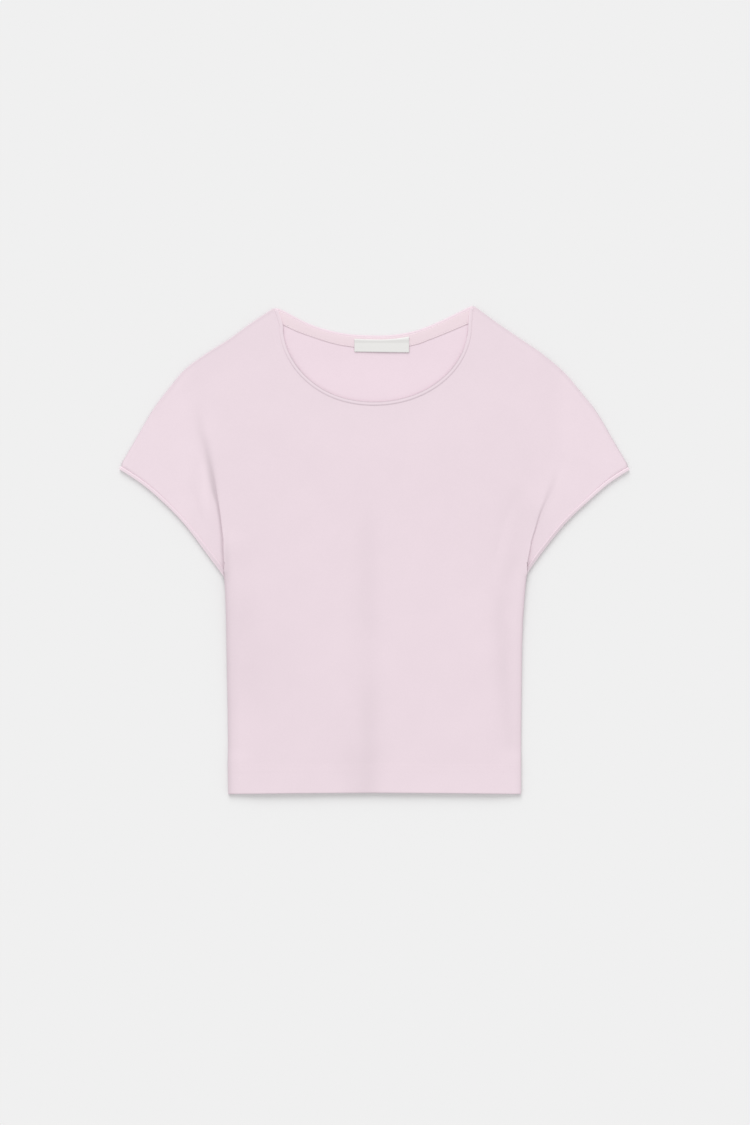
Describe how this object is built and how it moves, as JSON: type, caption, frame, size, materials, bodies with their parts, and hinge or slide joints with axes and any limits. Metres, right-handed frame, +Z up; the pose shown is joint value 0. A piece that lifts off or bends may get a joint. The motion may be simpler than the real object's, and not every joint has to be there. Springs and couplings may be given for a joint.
{
  "type": "crop top laid flat",
  "caption": "Short cropped jersey top with cap sleeves cut in one with the body and a scoop neck, laid flat on its back.",
  "frame": {"origin": "on the surface it lies on, under the middle of the outline", "axes": "+X to the right across the sleeves as seen from above, +Y from the hem to the neck, +Z up through the front"},
  "size_m": [0.4834, 0.4632, 0.0075],
  "materials": {
    "jersey": "matt pale pink jersey with a soft peached face",
    "binding": "rolled edge of the same jersey",
    "tape": "stitched tape of the same jersey",
    "label_satin": "off-white woven satin"
  },
  "bodies": {
    "root": {"front_panel": "jersey", "back_panel": "jersey", "neck_binding_front": "binding", "neck_binding_back": "binding", "back_neck_tape": "tape", "neck_label": "label_satin", "sleeve_binding_left": "binding", "sleeve_binding_right": "binding"}
  },
  "joints": []
}
